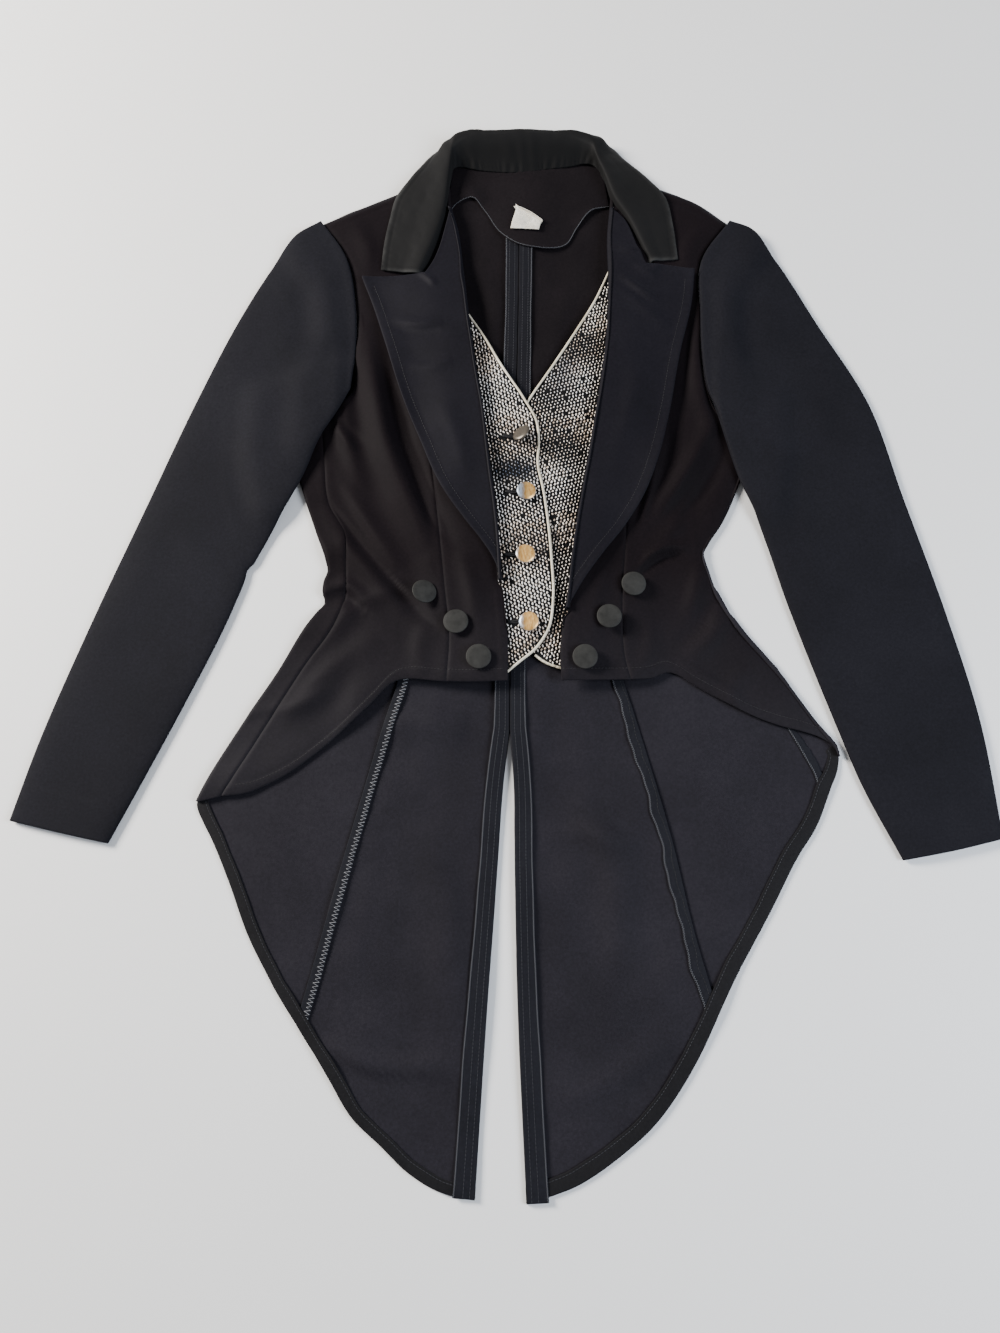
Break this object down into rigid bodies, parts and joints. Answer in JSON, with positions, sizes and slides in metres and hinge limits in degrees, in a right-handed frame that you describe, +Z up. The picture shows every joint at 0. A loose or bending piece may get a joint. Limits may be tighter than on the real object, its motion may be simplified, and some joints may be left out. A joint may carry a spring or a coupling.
{
  "type": "tuxedo tailcoat with a sewn-in waistcoat front, laid flat",
  "caption": "Woman's black tuxedo tailcoat laid flat on its back, with peaked lapels, a dark collar, cutaway front, split tails and a sewn-in silver knit waistcoat front.",
  "frame": {"origin": "under the middle of the coat's bounding box, on the surface it lies on", "axes": "+X toward the wearer's left, +Y toward the collar, +Z up out of the coat's front"},
  "size_m": [0.834, 0.9801, 0.0222],
  "materials": {
    "wool": "matte",
    "collar_cloth": "matte, brushed",
    "knit": "metallic yarn",
    "piping": "metallic cord",
    "dark_button": "matte",
    "metal_button": "polished",
    "label": "matte"
  },
  "bodies": {
    "root": {"back_r": "wool", "back_l": "wool", "side_back_r": "wool", "side_back_l": "wool", "front_r": "wool", "front_l": "wool", "side_front_r": "wool", "side_front_l": "wool", "sleeve_r": "wool", "sleeve_l": "wool", "lapel_r": "wool", "lapel_l": "wool", "collar": "collar_cloth", "back_neck_facing": "wool", "label": "label", "waistcoat_r": "knit", "waistcoat_l": "knit", "waistcoat_piping_r": "piping", "waistcoat_piping_l": "piping", "waistcoat_piping_hem": "piping", "centre_strip_r": "wool", "centre_strip_l": "wool", "tail_strip_r": "wool", "tail_strip_l": "wool", "tail_hem_r": "wool", "tail_hem_l": "wool", "front_button_r1": "dark_button", "front_button_r2": "dark_button", "front_button_r3": "dark_button", "front_button_l1": "dark_button", "front_button_l2": "dark_button", "front_button_l3": "dark_button", "waistcoat_button_1": "metal_button", "waistcoat_button_2": "metal_button", "waistcoat_button_3": "metal_button", "waistcoat_button_4": "metal_button"}
  },
  "joints": []
}
